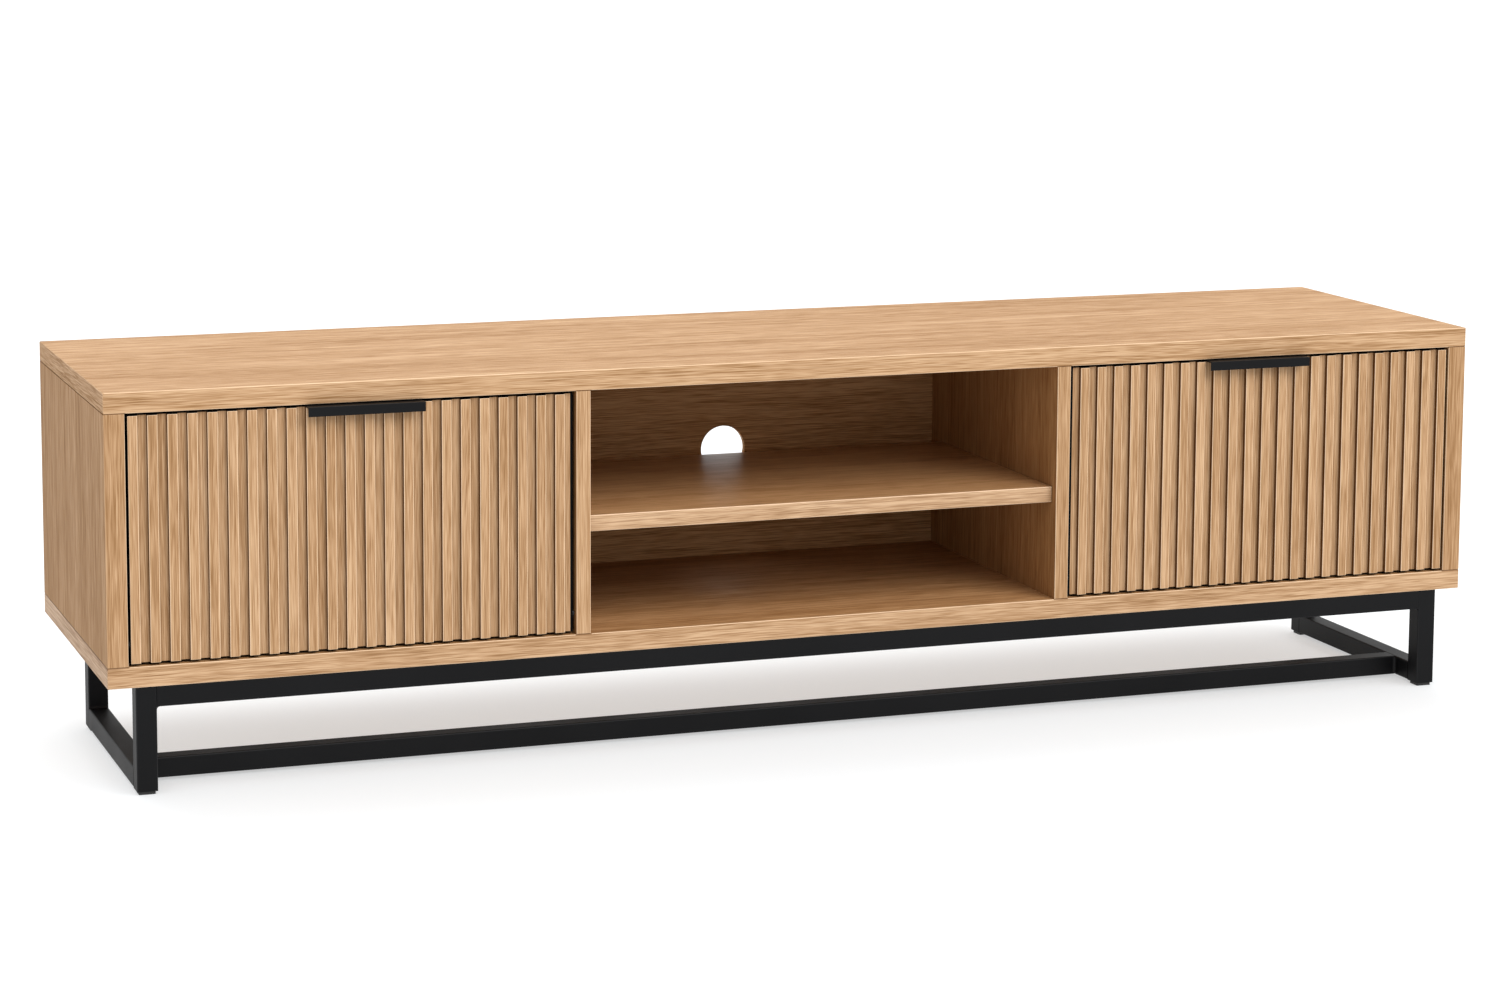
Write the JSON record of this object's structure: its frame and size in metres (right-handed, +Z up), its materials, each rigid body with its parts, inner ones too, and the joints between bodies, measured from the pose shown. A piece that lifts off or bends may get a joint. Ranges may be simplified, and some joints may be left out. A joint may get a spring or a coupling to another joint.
{
  "type": "media cabinet",
  "caption": "Low oak-look media cabinet with slatted drop-down flaps either side of an open shelved bay, on a black square-tube base.",
  "frame": {"origin": "on the floor, at the centre of the whole outline (carcass and handle lips)", "axes": "+X to the right seen from the front, -Y out of the front, +Z up"},
  "size_m": [1.8, 0.464, 0.48],
  "materials": {
    "oak_flat_board": "satin oak-look laminate, grain along the length",
    "oak_upright_board": "satin oak-look laminate, grain upright",
    "oak_back_board": "satin oak-look laminate, grain along the length",
    "oak_flap_board": "satin oak-look laminate, grain upright",
    "oak_slats": "satin oak-look strips, tone differs from strip to strip",
    "black_powder_coat": "fine-textured matt black powder coat",
    "black_handle": "matt black powder coat on aluminium",
    "black_foot_plastic": "matt moulded plastic",
    "beech_dowel": "raw fluted beech",
    "catch_plastic": "moulded brown plastic",
    "stay_guide_plastic": "moulded dark grey acetal",
    "magnet_ferrite": "bare ferrite block",
    "black_bush_plastic": "moulded black nylon",
    "black_zinc_pin": "black zinc plate",
    "zinc_insert": "bright zinc plate",
    "zinc_cam": "cast zinc",
    "plated_steel_strip": "bright zinc-plated strip",
    "nickel_shelf_pin": "nickel plate",
    "zinc_screw": "bright zinc plate"
  },
  "bodies": {
    "cabinet": {"back_panel_centre": "oak_back_board", "back_panel_left": "oak_back_board", "back_panel_right": "oak_back_board", "back_panel_screws": "zinc_screw", "bottom_panel": "oak_flat_board", "cam_bolts": "zinc_screw", "cam_locks": "zinc_cam", "catch_housings": "catch_plastic", "catch_magnets": "magnet_ferrite", "catch_screws": "zinc_screw", "dowels": "beech_dowel", "foot_plugs": "black_foot_plastic", "frame_screws": "zinc_screw", "front_top_rail": "black_powder_coat", "hinge_pins": "black_zinc_pin", "left_front_leg": "black_powder_coat", "left_partition": "oak_upright_board", "left_rear_leg": "black_powder_coat", "left_side_panel": "oak_upright_board", "left_side_rail": "black_powder_coat", "left_stay_base": "plated_steel_strip", "rear_top_rail": "black_powder_coat", "right_front_leg": "black_powder_coat", "right_partition": "oak_upright_board", "right_rear_leg": "black_powder_coat", "right_side_panel": "oak_upright_board", "right_side_rail": "black_powder_coat", "right_stay_base": "plated_steel_strip", "shelf": "oak_flat_board", "shelf_pins": "nickel_shelf_pin", "stay_base_screws": "zinc_screw", "stretcher": "black_powder_coat", "threaded_inserts": "zinc_insert", "top_panel": "oak_flat_board", "weld_beads": "black_powder_coat"},
    "left_flap": {"left_flap_board": "oak_flap_board", "left_flap_slats": "oak_slats", "left_flap_bushes": "black_bush_plastic", "left_handle": "black_handle", "left_handle_screws": "zinc_screw", "left_strike_plate": "plated_steel_strip", "left_stay_bracket": "plated_steel_strip", "left_stay_rivet": "zinc_screw", "left_fitting_screws": "zinc_screw"},
    "left_stay_arm": {"left_stay_arm": "plated_steel_strip", "left_stay_stop": "zinc_screw"},
    "left_stay_guide": {"left_stay_guide": "stay_guide_plastic"},
    "right_flap": {"right_flap_board": "oak_flap_board", "right_flap_slats": "oak_slats", "right_flap_bushes": "black_bush_plastic", "right_handle": "black_handle", "right_handle_screws": "zinc_screw", "right_strike_plate": "plated_steel_strip", "right_stay_bracket": "plated_steel_strip", "right_stay_rivet": "zinc_screw", "right_fitting_screws": "zinc_screw"},
    "right_stay_arm": {"right_stay_arm": "plated_steel_strip", "right_stay_stop": "zinc_screw"},
    "right_stay_guide": {"right_stay_guide": "stay_guide_plastic"}
  },
  "joints": [
    {"name": "left_flap_hinge", "type": "hinge", "parent": "cabinet", "child": "left_flap", "pos_m": [-0.6015, -0.2075, 0.18], "axis": [1, 0, 0], "range_deg": [0, 90]},
    {"name": "left_stay_arm_pivot", "type": "hinge", "parent": "left_flap", "child": "left_stay_arm", "pos_m": [-0.8662, -0.19, 0.33], "axis": [1, 0, 0], "range_deg": [-45, 0]},
    {"name": "left_stay_guide_swivel", "type": "hinge", "parent": "cabinet", "child": "left_stay_guide", "pos_m": [-0.87, -0.09181, 0.27707], "axis": [1, 0, 0], "range_deg": [0, 45]},
    {"name": "right_flap_hinge", "type": "hinge", "parent": "cabinet", "child": "right_flap", "pos_m": [0.6015, -0.2075, 0.18], "axis": [1, 0, 0], "range_deg": [0, 90]},
    {"name": "right_stay_arm_pivot", "type": "hinge", "parent": "right_flap", "child": "right_stay_arm", "pos_m": [0.8662, -0.19, 0.33], "axis": [1, 0, 0], "range_deg": [-45, 0]},
    {"name": "right_stay_guide_swivel", "type": "hinge", "parent": "cabinet", "child": "right_stay_guide", "pos_m": [0.87, -0.09181, 0.27707], "axis": [1, 0, 0], "range_deg": [0, 45]}
  ],
  "couplings": [
    {"joint": "left_stay_arm_pivot", "follows": "left_flap_hinge", "ratio": -0.5},
    {"joint": "left_stay_guide_swivel", "follows": "left_flap_hinge", "ratio": 0.5},
    {"joint": "right_stay_arm_pivot", "follows": "right_flap_hinge", "ratio": -0.5},
    {"joint": "right_stay_guide_swivel", "follows": "right_flap_hinge", "ratio": 0.5}
  ]
}
